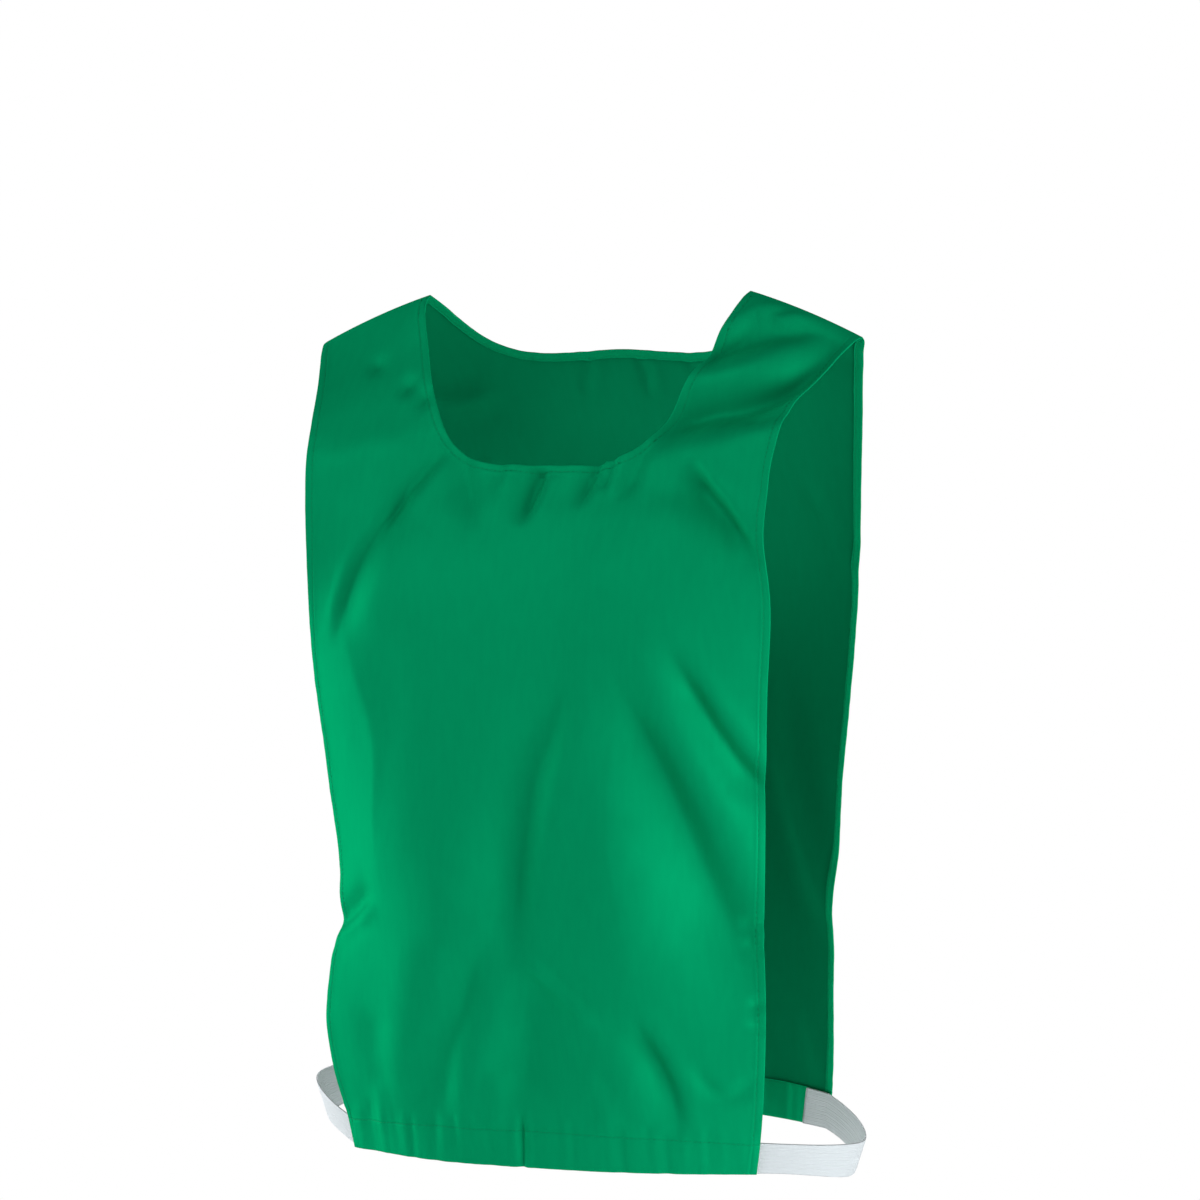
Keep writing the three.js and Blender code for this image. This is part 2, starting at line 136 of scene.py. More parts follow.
FRONT_FOLDS = (
    # across the right breast, and gathered under the neckline
    (((-64, 88), (-74, 102), (-94, 128), (-108, 148)), 3.6, 8, -0.3),
    (((-84, 122), (-95, 134), (-114, 164), (-126, 194), (-130, 220)), 3.4, 8.5, 0.45),
    (((-86, 92), (-118, 96), (-156, 112)), -1.6, 12),
    (((-62, 84), (-55, 103), (-47, 124), (-36, 150)), 2.4, 7.5, -0.2),
    (((-20, 92), (-21, 108), (-24, 126)), -1.2, 3.6),
    (((0, 107), (-3, 118), (-9, 145)), 5, 6.5, -0.3),
    (((44, 84), (37, 107), (27, 134)), 3.6, 5.5, -0.3),
    (((50, 96), (46, 110), (42, 124)), 1.8, 2.4),
    (((55, 96), (52, 112), (49, 130)), -1.2, 3),
    (((70, 88), (65, 107), (59, 130)), 1.6, 6, -0.2),
    # over the left shoulder
    (((108, 28), (122, 18), (140, 11), (156, 6)), 2.8, 3.6),
    (((84, 52), (101, 38), (124, 28), (150, 23), (182, 26)), 7.5, 7.5, -0.2),
    (((102, 60), (133, 50), (152, 43), (170, 33)), -1.8, 6.5),
    (((58, 100), (80, 82), (104, 72), (128, 68), (150, 58), (170, 38), (186, 16)), 12.5, 12, 0.05),
    (((126, 80), (150, 77), (168, 72)), 2.4, 4.2),
    (((98, 88), (118, 107), (146, 131), (161, 156), (170, 180)), -2.6, 10, -0.2, 0.2),
    (((98, 104), (114, 122), (131, 139), (152, 166)), 7.5, 9, -0.45),
    # hanging from the breasts
    (((22, 136), (24, 186), (22, 236)), 1.2, 20, -0.2),
    (
        ((27, 206), (26, 236), (20, 264), (10, 292), (2, 322), (-4, 354), (-9, 400), (-18, 470)),
        6.2,
        16,
        -0.25,
    ),
    (((-88, 186), (-90, 225), (-92, 261), (-100, 312), (-112, 360)), 2.8, 22, -0.2),
    (((-140, 176), (-112, 236), (-100, 274), (-101, 324), (-94, 396)), -7.5, 44, 0.4, 0.7),
    (((-62, 290), (-56, 350), (-54, 410), (-58, 470), (-66, 560)), -8, 44, -0.3, 0.3),
    (((50, 196), (68, 244), (84, 276), (99, 310), (114, 350), (133, 400), (158, 470)), 11, 20, -0.35),
    (((88, 206), (110, 240), (124, 264), (142, 292), (162, 316)), 7, 10, -0.4),
    (((56, 190), (64, 241), (60, 300), (62, 350), (72, 400), (86, 462)), -5.5, 36, 0.1, 0.6),
    # nick in the right edge
    (((-104, 362), (-122, 376), (-140, 390), (-176, 404)), 3.6, 9),
    (((-100, 376), (-126, 389), (-154, 404)), -2.8, 5),
    # above the hem
    (((-32, 388), (-40, 430), (-54, 470), (-64, 530)), 7.5, 16, -0.2),
    (((-1, 404), (3, 440), (1, 470), (-6, 500)), 5.5, 30, 0.1, 0.5),
    (((0, 402), (24, 422), (54, 446)), -2.2, 4.6),
    (((44, 436), (75, 457), (96, 490)), 1.8, 8),
    (((68, 432), (82, 456), (93, 482), (97, 518)), 3.8, 9, -0.4),
    (((104, 462), (124, 484), (146, 472)), 1.6, 4.5),
    (((-102, 436), (-104, 466), (-98, 502)), 1.6, 12),
    # puckers at the left edge
    (((158, 377), (144, 380), (132, 380)), 2.2, 3.4),
    (((158, 396), (146, 394), (134, 389)), 2.6, 3.6),
    (((158, 425), (148, 427), (138, 430)), 1.8, 3.4),
    (((158, 443), (148, 442), (138, 438)), 1.6, 3.2),
    # puckers at the hem
    (((-2, 496), (-2, 518), (-3, 540)), 2, 2.8, -0.2),
    (((88, 502), (88, 522), (89, 540)), 1, 4, -0.2),
    (((62, 504), (62, 520), (63, 538)), 0.5, 3.4),
    (((-116, 494), (-115, 514), (-115, 538)), 0.7, 4.4),
    (((-84, 498), (-83, 516), (-82, 538)), 0.7, 3.8),
    (((-66, 496), (-65, 516), (-66, 540)), 0.8, 4.2),
    (((-23, 500), (-23, 518), (-22, 538)), 0.6, 4),
    (((-18, 470), (-18, 492), (-19, 516)), -1.4, 7),
    (((38, 466), (50, 488), (58, 512)), -1.1, 5.5),
    (((72, 466), (60, 488), (55, 512)), -0.4, 5.5),
    (((-106, 482), (-107, 502), (-108, 522)), -0.8, 6),
)
BACK_FOLDS = (
    (((88, 44), (128, 34), (186, 34)), 2.8, 6),
    (((-84, 58), (-126, 66), (-172, 46)), 3.6, 7),
    (((-20, 34), (-26, 48), (-36, 70)), 1.8, 3.6),
    (((12, 34), (14, 50), (10, 66)), 2.2, 3.6),
    (((44, 34), (52, 52), (66, 72)), 1.6, 4.4),
    (((-98, 96), (-124, 132), (-148, 176)), 2.8, 6),
    (((104, 108), (130, 146), (154, 182)), 2.4, 6),
    (((0, 110), (2, 160), (0, 220)), 2, 20),
    (((-62, 200), (-82, 310), (-70, 440)), 4, 11),
    (((14, 186), (2, 300), (20, 430)), 4, 12),
    (((78, 200), (104, 310), (154, 415)), 5.2, 12),
    (((46, 236), (56, 320), (74, 400)), -1.8, 11),
    (((-104, 222), (-128, 290), (-162, 334)), 3.6, 9),
    (((-34, 230), (-38, 320), (-22, 400)), -1.6, 12),
    (((-28, 408), (-44, 465), (-46, 516)), 3.2, 9),
    (((48, 416), (74, 465), (92, 516)), 3.4, 9),
    (((-98, 428), (-108, 466), (-100, 510)), 2, 8),
    (((116, 430), (122, 466), (134, 492)), 1.8, 7),
    (((10, 470), (12, 490), (8, 514)), -1.4, 6),
    (((-70, 484), (-72, 500), (-70, 516)), 1.2, 3.6),
    (((34, 486), (32, 500), (34, 516)), 1.2, 3.2),
)

CREST = {"height": 0.2, "place": 2}  # of a fold's flanking ridges, as shares of its depth and of a flank
FOLD_REACH = 4  # flanks from a fold's line to where it no longer shows
FADING = 0.3  # share of a fold's length over which it fades in, and out again
SEAM_FADING = 12  # the reach below the shoulder seam over which folds, puckers and ripples fade in
RIPPLES = ((70, 1.0), (26, 0.35), (11, 0.12))  # size and height of the cloth's own small unevenness
RIPPLE_LENGTHENING = 2.2  # how much longer ripples are down the cloth than across it
WANDER_REACH = 900  # the longest run that an uneven line has to either side

# Distances from an edge of the cloth, measured round its fold: negative is the part that is turned inside.
FOLD_STEPS = (-1, -0.66, -0.33, 0, 0.33, 0.66, 1)  # as shares of a quarter turn
EDGE_HEM = {"turned": 6, "stitches": 4.6, "radius": 0.3}
TOP_HEM = {"turned": 6, "stitches": 4.6, "radius": 0.6}
CASING = {"turned": HEM_DEPTH, "stitches": HEM_DEPTH - 1.2, "radius": 0.65}
NARROW_TURNED = (-6, -5.4, -4.9, -4.6, -4.3, -3.6, -2.4)
NARROW_OUTSIDE = (1.2, 2.4, 3.6, 4.2, 4.6, 5.0, 5.6, 6.4, 7.4, 9, 11.2, 14)
CASING_TURNED = (-25, -24.3, -23.8, -23.3, -21, -17, -13, -9, -5, -2.5)
CASING_OUTSIDE = (2.2, 4.5, 7.5, 10.5, 13.5, 16.5, 19.5, 21.8, 23, 23.5, 23.8, 24.1, 24.6, 25.6, 27, 29, 31.5)
HEM_STEP = {"height": 0.2, "before": 0.4, "after": 1.1}  # where the turned cloth ends under the outer layer
GROOVE = {"depth": 0.22, "width": 0.6, "inside": 0.3}  # pressed in by the stitches, a share of it inside
PUCKER_WAVES = ((9, 1.0), (4.2, 0.5))  # size and height
PUCKER_REACH = 1.2  # as a share of the turned depth
NECK_HEM_END = 2  # the neck hem flattens out this far before the shoulder seam

INNER_COLUMNS = {"neck": 58, "shoulder": 16}
BODY_ROWS = 180

STRAP_WIDTH = 24
STRAP_INSET = 1.5  # how far the middle of the elastic lies beneath a panel's own surface
STRAP_LAP = {"length": 22, "steps": 10}
STRAP_CURVE = {"hem": 32, "hip": 0.25, "steps": 64, "edge_share": 1 / 18}
STRAP_WAVES = ((60, 0.8), (24, 0.3))
STRAP_WAVE_SEED = 7.7
STRAP_WAVE_FADING = 40
RIBS = {"count": 13, "rows": 5, "height": 0.28, "selvedge": 0.75}

THREAD_SIDES = 6
THREAD_RINGS = ((0.0, 0.3), (0.12, 0.85), (0.35, 1.0), (0.65, 1.0), (0.88, 0.85), (1.0, 0.3))
STITCH_RISE = {"crown": 1.3, "ends": -0.6}  # in half thicknesses of the thread
STITCH_ENDS = {"shoulder": 9, "foot": 1.5, "side": 1}  # how far from an edge a line of stitches stops

# Yarns, slubs, ribs and courses, as repeats along the flat cloth's two directions.
SLUBS = (260, 60, 1)
YARNS = (600, 600, 1)
ELASTIC_RIBS = (1, 270, 1)
ELASTIC_COURSES = (420, 1, 1)
KNIT_DEPTH = 0.45  # of the courses, as a share of the ribs' own
THREAD_SHADE = 0.75

WHITE = (1, 1, 1, 1)
AMBIENT = 0.15
BIB_MIDDLE = Vector((0, 0, -0.25))
# Name, azimuth and elevation in degrees as seen from the front, distance, size and power.
SOFTBOXES = (
    ("left_softbox", -90, 0, 2.5, (2.0, 2.2), 65),
    ("right_softbox", 70, -8, 2.8, (1.5, 1.3), 65),
    ("front_softbox", -30, 34, 2.8, (1.8, 1.4), 26),
    ("back_softbox", 165, 20, 2.8, (1.8, 1.4), 26),
)
FLOOR = {"sides": 96, "solid_share": 0.1}
CAMERA = {"aside": 0.0074, "eye_height": -0.07, "aim_height": -0.175, "view_width": 0.744, "sensor": 36}


@dataclass(frozen=True)
class Panel:
    """One cloth panel: facing is -1 for the front and 1 for the back."""

    name: str
    nodes: tuple
    facing: int
    sections: tuple
    swells: tuple
    folds: tuple
    neck_depth: float
    askew: float
    seed: float
    cut_size: tuple
    cut_area: float

    @property
    def length(self):
        return self.sections[-1][0]


FRONT = Panel(
    name="front_cloth",
    nodes=("front_panel", "front_hem_turn_up"),
    facing=-1,
    sections=FRONT_SECTIONS,
    swells=FRONT_SWELLS,
    folds=FRONT_FOLDS,
    neck_depth=125,
    askew=0,
    seed=3.1,
    cut_size=(391, 618),
    cut_area=177_000,
)
BACK = Panel(
    name="back_cloth",
    nodes=("back_panel", "back_hem_turn_up"),
    facing=1,
    sections=BACK_SECTIONS,
    swells=BACK_SWELLS,
    folds=BACK_FOLDS,
    neck_depth=62,
    askew=6,
    seed=41.7,
    cut_size=(391, 582),
    cut_area=177_000,
)


@dataclass(frozen=True)
class Strap:
    """An elastic strap: its place at the hip is (across, out, down) at its upper and lower edge."""

    name: str
    node: str
    upper: tuple
    lower: tuple
    climb: float
    lifts: tuple

    @property
    def side(self):
        return math.copysign(1, self.upper[0])


LEFT_STRAP = Strap("left_elastic", "left_strap", (183, -6, 516), (175.5, -6, 537), 0.1, (0, -7))
RIGHT_STRAP = Strap("right_elastic", "right_strap", (-188, 6, 493), (-179, 6, 517), 0.3, (10, 0))


def smoothstep(low, high, value):
    share = np.clip((value - low) / (high - low), 0, 1)
    return share * share * (3 - 2 * share)


def unit(vectors):
    return vectors / np.maximum(np.linalg.norm(vectors, axis=-1, keepdims=True), 1e-9)


def running_sum(lengths):
    return np.concatenate([[0], np.cumsum(lengths)])


def section_at(panel, along):
    """The panel's section at distances along the cloth, on smooth curves through the table's rows."""
    table = np.array(panel.sections, float)
    stations = table[:, 0]
    i = np.clip(np.searchsorted(stations, along) - 1, 0, len(stations) - 2)
    before, after = np.maximum(i - 1, 0), np.minimum(i + 2, len(stations) - 1)
    span = stations[i + 1] - stations[i]
    t = ((along - stations[i]) / span)[..., None]
    slope_a = (table[i + 1] - table[before]) / (stations[i + 1] - stations[before])[..., None]
    slope_b = (table[after] - table[i]) / (stations[after] - stations[i])[..., None]
    rows = (
        table[i] * (1 + 2 * t) * (1 - t) ** 2
        + table[i + 1] * (3 - 2 * t) * t**2
        + span[..., None] * (slope_a * t * (1 - t) ** 2 - slope_b * t**2 * (1 - t))
    )
    return {name: rows[..., k] for k, name in enumerate(SECTION_COLUMNS)}


def smooth_points(panel, across, along):
    """Points of the panel without its folds. across runs from -1 at the right edge to 1 at the left."""
    row = section_at(panel, along)
    share = np.abs(across) ** row["bow"]
    out = row["mid_out"] + (row["edge_out"] - row["mid_out"]) * share + SEAM_GAP / 2
    slant = panel.askew * across * along / panel.length
    down = row["mid_down"] + (row["edge_down"] - row["mid_down"]) * share + slant
    return np.stack([across * row["half"], panel.facing * out, ORIGIN_DOWN - down], axis=-1)


def small_steps(panel, points_at, across, along):
    """How points move over two small steps across the panel, and over two along it."""
    right, left = across - STEP_ACROSS, across + STEP_ACROSS
    above, below = along - STEP_ALONG, along + STEP_ALONG
    sideways = points_at(panel, left, along) - points_at(panel, right, along)
    downwards = points_at(panel, across, below) - points_at(panel, across, above)
    return sideways, downwards


def outward(panel, points_at, across, along):
    """The directions that point out of the panel at places on it."""
    directions = np.cross(*small_steps(panel, points_at, across, along)) * panel.facing
    directions[..., 1] *= np.clip(along / UPRIGHT_REACH, 0, 1)
    return unit(directions)


def curve_through(places, steps=8):
    """A smooth line of points through a few places."""
    places = np.array(places, float)
    ends = np.vstack([2 * places[0] - places[1], places, 2 * places[-1] - places[-2]])
    line = []
    for a, b, c, d in zip(ends, ends[1:], ends[2:], ends[3:]):
        for t in np.arange(steps) / steps:
            bend = (2 * a - 5 * b + 4 * c - d) * t**2
            swing = (3 * b - a - 3 * c + d) * t**3
            line.append(0.5 * (2 * b + (c - a) * t + bend + swing))
    return np.array([*line, places[-1]])


def nearest_on(line, x, down):
    """How far places are from a line, with a sign for its side, and how far along it the nearest point is."""
    best = np.full(x.shape, np.inf)
    side = np.zeros(x.shape)
    share = np.zeros(x.shape)
    for k, (start, end) in enumerate(zip(line, line[1:])):
        step = end - start
        dx, dy = x - start[0], down - start[1]
        t = np.clip((dx * step[0] + dy * step[1]) / (step @ step), 0, 1)
        distance = np.hypot(dx - t * step[0], dy - t * step[1])
        closer = distance < best
        best = np.where(closer, distance, best)
        side = np.where(closer, np.sign(dx * step[1] - dy * step[0]), side)
        share = np.where(closer, (k + t) / (len(line) - 1), share)
    return best, side, share


def fold_relief(fold, x, down):
    """How high one fold raises the cloth."""
    line = curve_through(fold.path)
    reach = FOLD_REACH * fold.width * (1 + abs(fold.lean))
    place = np.stack([x, down], axis=-1)
    near = ((place > line.min(axis=0) - reach) & (place < line.max(axis=0) + reach)).all(axis=-1)
    rise = np.zeros(x.shape)
    if near.any():
        distance, side, share = nearest_on(line, x[near], down[near])
        away = distance / (fold.width * (1 + fold.lean * side))
        trough = np.exp(-(away ** (2 - fold.sharp)))
        crests = np.exp(-((away - CREST["place"]) ** 2)) * CREST["height"]
        taper = smoothstep(0, FADING, share) * smoothstep(0, FADING, 1 - share)
        rise[near] = fold.depth * taper * (crests - trough)
    return rise


def ripple_relief(panel, x, down):
    """The cloth's own small unevenness, longer down the cloth than across it."""
    places = list(zip(x.ravel(), down.ravel()))
    total = np.zeros(len(places))
    for size, height in RIPPLES:
        tall = RIPPLE_LENGTHENING * size
        heights = [noise.noise(Vector((a / size, b / tall, panel.seed + size))) for a, b in places]
        total += height * np.array(heights)
    return total.reshape(x.shape)


def relief(panel, x, down):
    """How high the panel's swellings and folds raise the cloth."""
    rise = np.zeros(x.shape)
    for across, middle, wide, tall, height in panel.swells:
        rise += height * np.exp(-(((x - across) / wide) ** 2) - ((down - middle) / tall) ** 2)
    for row in panel.folds:
        rise += fold_relief(Fold(*row), x, down)
    return rise


def folded_points(panel, across, along):
    """Points of the panel with its folds, which fade out at the shoulder seam."""
    points = smooth_points(panel, across, along)
    rise = relief(panel, points[..., 0], ORIGIN_DOWN - points[..., 2])
    rise = rise * smoothstep(0, SEAM_FADING, along)
    return points + outward(panel, smooth_points, across, along) * rise[..., None]


def round_fold(distance, radius):
    """Where cloth lies that is folded over an edge: how far in from the edge, and how far out or in."""
    quarter = math.pi / 2 * radius
    angle = np.clip(distance / radius, -math.pi / 2, math.pi / 2)
    beyond = np.maximum(np.abs(distance) - quarter, 0)
    return radius * (1 - np.cos(angle)) + beyond, radius * np.sin(angle)


def hem_distances(turned, hem, outside):
    """The distances of a hem's rows from its edge, and how far in from the edge each row lies."""
    quarter = math.pi / 2 * hem["radius"]
    distances = np.array([*turned, *(share * quarter for share in FOLD_STEPS), *outside])
    return distances, round_fold(distances, hem["radius"])[0]


def inset(hem, distance):
    """How far in from a hem's edge a distance round it ends."""
    return float(round_fold(np.array(distance), hem["radius"])[0])


def edge_run(panel, along):
    """Millimetres of cloth for each unit of across, at the panel's edges."""
    row = section_at(panel, along)
    fall = (row["edge_out"] - row["mid_out"]) * row["bow"]
    drop = (row["edge_down"] - row["mid_down"]) * row["bow"]
    return np.sqrt(row["half"] ** 2 + fall**2 + drop**2)


def across_at(panel, inward, along):
    """The share across at which places lie that are some way in from the panel's left edge."""
    return 1 - inward / edge_run(panel, along)


def side_border(panel, along):
    """The share across at which the turned side hem's rows begin."""
    return across_at(panel, inset(EDGE_HEM, NARROW_OUTSIDE[-1]), along)


def top_row(panel, inward):
    """Places at one distance in from the left half of the neckline and shoulder seam, and the run to them."""
    angle = np.linspace(0, math.pi / 2, NECKLINE_STEPS + 1)
    across = NECK_SHARE * np.sin(angle) ** (2 / NECK_SQUARENESS)
    along = panel.neck_depth * np.cos(angle)
    sideways, downwards = small_steps(panel, smooth_points, across, along)
    per_across = np.linalg.norm(sideways, axis=-1) / (2 * STEP_ACROSS)
    per_along = np.linalg.norm(downwards, axis=-1) / (2 * STEP_ALONG)
    step_x, step_down = np.gradient(across) * per_across, np.gradient(along) * per_along
    step = np.hypot(step_x, step_down)
    across = across - inward * step_down / step / per_across
    along = along + inward * step_x / step / per_along
    run = running_sum(np.hypot(np.diff(across * per_across), np.diff(along * per_along)))
    corner = np.interp(-inward, -along, run)
    at = np.linspace(0, corner, INNER_COLUMNS["neck"] + 1)
    neck_across, neck_along = np.interp(at, run, across), np.interp(at, run, along)
    border = side_border(panel, inward)
    seam = np.linspace(neck_across[-1], border, INNER_COLUMNS["shoulder"] + 1)[1:]
    runs = np.concatenate([at, corner + (seam - neck_across[-1]) * SHOULDER["outer_half"]])
    return np.concatenate([neck_across, seam]), np.concatenate([neck_along, np.full(len(seam), inward)]), runs


def relaxed(grid, rounds=1200):
    """A grid of flat places between fixed borders, evened out until no two of its lines cross."""
    for _ in range(rounds):
        left, right = grid[1:-1, :-2], grid[1:-1, 2:]
        above, below = grid[:-2, 1:-1], grid[2:, 1:-1]
        sideways, downwards = (right - left) / 2, (below - above) / 2
        tall = (downwards**2).sum(-1, keepdims=True)
        wide = (sideways**2).sum(-1, keepdims=True)
        skew = (sideways * downwards).sum(-1, keepdims=True)
        corners = (grid[2:, 2:] - grid[2:, :-2] - grid[:-2, 2:] + grid[:-2, :-2]) / 4
        pull = tall * (left + right) + wide * (above + below) - 2 * skew * corners
        grid[1:-1, 1:-1] = pull / (2 * (tall + wide))
    return grid


@dataclass
class Layout:
    """Places on a panel, each with its distance round the hems, its run along the neckline and shoulder, and
    whether the neck hem shows there."""

    across: np.ndarray
    along: np.ndarray
    side: np.ndarray = FAR
    top: np.ndarray = FAR
    foot: np.ndarray = FAR
    top_run: np.ndarray = FAR
    hemmed: np.ndarray = True


def mirrored(half, sign=1):
    """The left half of some rows, with its mirror image before it."""
    return np.concatenate([sign * half[..., :0:-1], half], axis=-1)


def lay_out(panel):
    """The panel's grid, from the turned top hem down to the turned casing."""
    side, side_in = (values[::-1] for values in hem_distances(NARROW_TURNED, EDGE_HEM, NARROW_OUTSIDE))
    top, top_in = hem_distances(NARROW_TURNED, TOP_HEM, NARROW_OUTSIDE)
    foot, foot_in = (values[::-1] for values in hem_distances(CASING_TURNED, CASING, CASING_OUTSIDE))

    head = [top_row(panel, inward) for inward in top_in]
    runs = top_row(panel, 0.0)[2]
    inner = len(runs)
    tail_along = np.repeat((panel.length - foot_in)[:, None], inner, axis=1)
    tail_across = side_border(panel, tail_along) * np.linspace(0, 1, inner)

    share = np.linspace(0, 1, BODY_ROWS + 2)[:, None]
    first = np.stack(head[-1][:2], axis=-1)
    last = np.stack([tail_across[0], tail_along[0]], axis=-1)
    body = first + (last - first) * share[..., None]
    body[:, -1, 0] = side_border(panel, body[:, -1, 1])
    scale = np.array([SHOULDER["outer_half"], 1.0])
    body = relaxed(body * scale) / scale
    across = np.vstack([[row[0] for row in head], body[1:-1, :, 0], tail_across])
    along = np.vstack([[row[1] for row in head], body[1:-1, :, 1], tail_along])

    rim_along = np.repeat(along[:, -1:], len(side) - 1, axis=1)
    across = np.hstack([across, across_at(panel, side_in[1:], rim_along)])
    along = np.hstack([along, rim_along])
    run = np.concatenate([runs, runs[-1] + side_in[0] - side_in[1:]])
    return Layout(
        across=mirrored(across, -1),
        along=mirrored(along),
        side=mirrored(np.pad(side[1:], (inner, 0), constant_values=FAR)),
        top=np.pad(top, (0, BODY_ROWS + len(foot)), constant_values=FAR)[:, None],
        foot=np.pad(foot, (len(top) + BODY_ROWS, 0), constant_values=FAR)[:, None],
        top_run=mirrored(run, -1),
        hemmed=mirrored(run < runs[INNER_COLUMNS["neck"]] - NECK_HEM_END),
    )


def wander(values, sizes, seed):
    """Smooth random heights from -1 to 1 along a line, the sum of several sizes."""
    knots = np.arange(-WANDER_REACH, WANDER_REACH, 1.0)
    heights = np.zeros(len(knots))
    for size, weight in sizes:
        heights += weight * np.array([noise.noise(Vector((k / size, seed, size))) for k in knots])
    return np.interp(values, knots, heights)


def hem_relief(distance, hem, run, pucker, seed):
    """How a turned hem shows: a step where the turned cloth ends, the sunk stitching, and small puckers."""
    away = np.abs(distance)
    past_stitches = away - hem["stitches"]
    ending = smoothstep(hem["turned"] - HEM_STEP["before"], hem["turned"] + HEM_STEP["after"], away)
    step = HEM_STEP["height"] * (1 - ending)
    sunk = GROOVE["depth"] * np.exp(-((past_stitches / GROOVE["width"]) ** 2))
    gathers = pucker * np.exp(-((past_stitches / (PUCKER_REACH * hem["turned"])) ** 2))
    waves = gathers * wander(run, PUCKER_WAVES, seed)
    return np.where(distance > 0, step - sunk, GROOVE["inside"] * sunk) + waves


def cloth_middle(panel, places, settings):
    """The middle of the cloth on a layout, its turned hems included."""
    base = folded_points(panel, places.across, places.along)
    directions = outward(panel, folded_points, places.across, places.along)
    radii = (EDGE_HEM["radius"], TOP_HEM["radius"], CASING["radius"])
    out = CLOTH_MIDDLE - sum(radii)
    for distance, radius in zip((places.side, places.top, places.foot), radii):
        out = out + round_fold(distance, radius)[1]
    x, down = base[..., 0], ORIGIN_DOWN - base[..., 2]
    rise = hem_relief(places.side, EDGE_HEM, places.along, settings.edge_pucker / MM, panel.seed)
    neck_hem = hem_relief(places.top, TOP_HEM, places.top_run, settings.neck_pucker / MM, panel.seed + 1)
    rise = rise + np.where(places.hemmed, neck_hem, 0)
    rise = rise + hem_relief(places.foot, CASING, x, settings.casing_pucker / MM, panel.seed + 2)
    rise = rise + settings.ripple * ripple_relief(panel, x, down)
    out = out + rise * smoothstep(0, SEAM_FADING, places.along)
    return base + directions * out[..., None]


def add_object(name, data):
    """A new object in the scene."""
    added = bpy.data.objects.new(name, data)
    bpy.context.scene.collection.objects.link(added)
    return added


def smooth_mesh(name, points, faces):
    """A smooth-shaded mesh from points in millimetres."""
    mesh = bpy.data.meshes.new(name)
    mesh.from_pydata((points * MM).tolist(), [], faces)
    mesh.polygons.foreach_set("use_smooth", np.ones(len(faces), dtype=bool))
    mesh.update()
    return mesh


def grid_normals(grid, facing):
    sideways = np.gradient(grid, axis=1)
    downwards = np.gradient(grid, axis=0)
    return unit(np.cross(sideways, downwards) * facing)


def grid_quads(middle, index):
    """Faces over a grid of points, each starting so that its shorter diagonal is the one it is split on."""
    quads = np.stack([index[:-1, :-1], index[1:, :-1], index[1:, 1:], index[:-1, 1:]], axis=-1)
    falling = np.linalg.norm(middle[:-1, :-1] - middle[1:, 1:], axis=-1)
    rising = np.linalg.norm(middle[1:, :-1] - middle[:-1, 1:], axis=-1)
    turned = (rising < falling)[..., None]
    return np.where(turned, np.roll(quads, -1, axis=-1), quads).reshape(-1, 4)


def rim_faces(border, total):
    """Two strips of faces that join the outer and inner layer of a wall to the rim round its border."""
    following = np.roll(np.arange(len(border)), -1)
    ring = 2 * total + np.arange(len(border))
    near = np.stack([border, ring, ring[following], border[following]], axis=1)
    back = np.stack([ring, border + total, border[following] + total, ring[following]], axis=1)
    return near[:, ::-1], back[:, ::-1]


def wall_piece(name, middle, normals, thickness, cut, facing, materials):
    """A closed wall round a grid of middle points: an outer face, an inner face, and a rounded rim. Its
    first material is on the outer face and the rim, and its second on the inner face."""
    rows, columns = middle.shape[:2]
    total = rows * columns
    index = np.arange(total).reshape(rows, columns)
    border = np.concatenate([index[:, 0], index[-1, 1:], index[-2::-1, -1], index[0, -2:0:-1]])
    inward = np.concatenate([index[:, 1], index[-2, 1:], index[-2::-1, -2], index[1, -2:0:-1]])
    thickness = np.broadcast_to(thickness, (rows, columns))[..., None]
    outer = (middle + normals * thickness / 2).reshape(-1, 3)
    inner = (middle - normals * thickness / 2).reshape(-1, 3)
    flat = middle.reshape(-1, 3)
    rim = flat[border] + unit(flat[border] - flat[inward]) * thickness.reshape(-1, 1)[border] / 2

    quads = grid_quads(middle, index)
    within = np.roll(quads[:, ::-1], 1, axis=1) + total
    faces = np.vstack([quads, within, *rim_faces(border, total)])
    if facing > 0:
        faces = np.roll(faces[:, ::-1], 1, axis=1)
    mesh = smooth_mesh(name, np.vstack([outer, inner, rim]), faces.tolist())

    flat_cut = cut.reshape(-1, 2)
    place = np.vstack([flat_cut, flat_cut, flat_cut[border]]) * MM
    layer = mesh.uv_layers.new(name="cut")
    layer.data.foreach_set("uv", place[faces.ravel()].astype(np.float32).ravel())
    kinds = np.zeros(len(faces), dtype=np.int32)
    kinds[len(quads) : 2 * len(quads)] = 1
    for material in materials:
        mesh.materials.append(material)
    mesh.polygons.foreach_set("material_index", kinds)
    mesh.update()
    return add_object(name, mesh)


